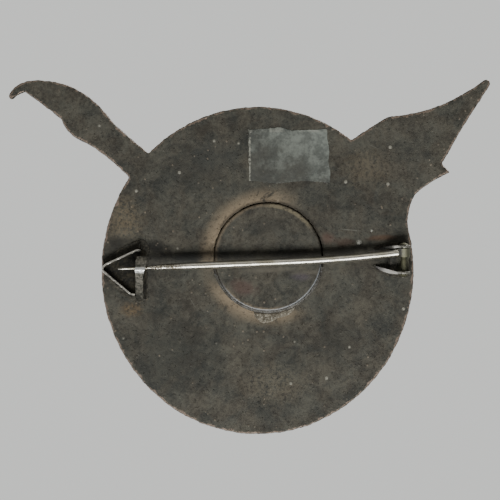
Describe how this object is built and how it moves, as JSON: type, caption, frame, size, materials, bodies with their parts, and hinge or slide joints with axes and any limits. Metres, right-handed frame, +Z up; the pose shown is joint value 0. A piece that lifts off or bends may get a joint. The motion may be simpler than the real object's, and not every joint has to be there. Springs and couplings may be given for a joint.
{
  "type": "pin-back badge",
  "caption": "Round winged metal badge with enamel fields and a raised medallion, fastened by a hinged brooch pin, a hook and a guard on its flat back.",
  "frame": {"origin": "middle of the disc, on the flat back", "axes": "+X along the pin from its point to its hinge, +Y from the back through to the enamelled face, +Z up as the badge is worn"},
  "size_m": [0.0482, 0.0044, 0.0354],
  "materials": {
    "tarnished_plate": "silvered metal gone dark and dull, worn to copper along the cut edge",
    "medallion_metal": "dark tarnished silvering with a trace of solder heat",
    "fitting_metal": "dull nickel silver sheet, bright on its edges",
    "pin_wire": "bright drawn wire with a yellowish upper side",
    "rivet_brass": "greenish dull brass",
    "solder": "grey matt solder with brown flux stain",
    "white_enamel": "opaque fired enamel, glossy",
    "blue_enamel": "opaque fired enamel, glossy",
    "red_enamel": "opaque fired enamel, glossy",
    "label_film": "thin translucent grey film, torn at one side"
  },
  "bodies": {
    "badge": {"badge_plate": "tarnished_plate", "upper_enamel": "white_enamel", "lower_enamel": "blue_enamel", "medallion": "medallion_metal", "medallion_enamel": "red_enamel", "medallion_solder": "solder", "solder_patch": "solder", "solder_speck": "solder", "hinge_solder": "solder", "hinge_bracket": "fitting_metal", "catch_solder": "solder", "catch_guard": "fitting_metal", "catch_hook": "fitting_metal", "label_remnant": "label_film"},
    "swivel": {"hinge_rivet": "rivet_brass"},
    "wire": {"pin": "pin_wire"}
  },
  "joints": [
    {"name": "pin_swing", "type": "hinge", "parent": "badge", "child": "swivel", "pos_m": [0.01455, -0.00135, 0.00179], "axis": [0, 0, 1], "range_deg": [0, 150]},
    {"name": "pin_flex", "type": "hinge", "parent": "swivel", "child": "wire", "pos_m": [0.01455, -0.00135, 0.00179], "axis": [0, 0.9682, -0.25], "range_deg": [0, 3.5], "stiffness_Nm_per_rad": 0.1}
  ]
}
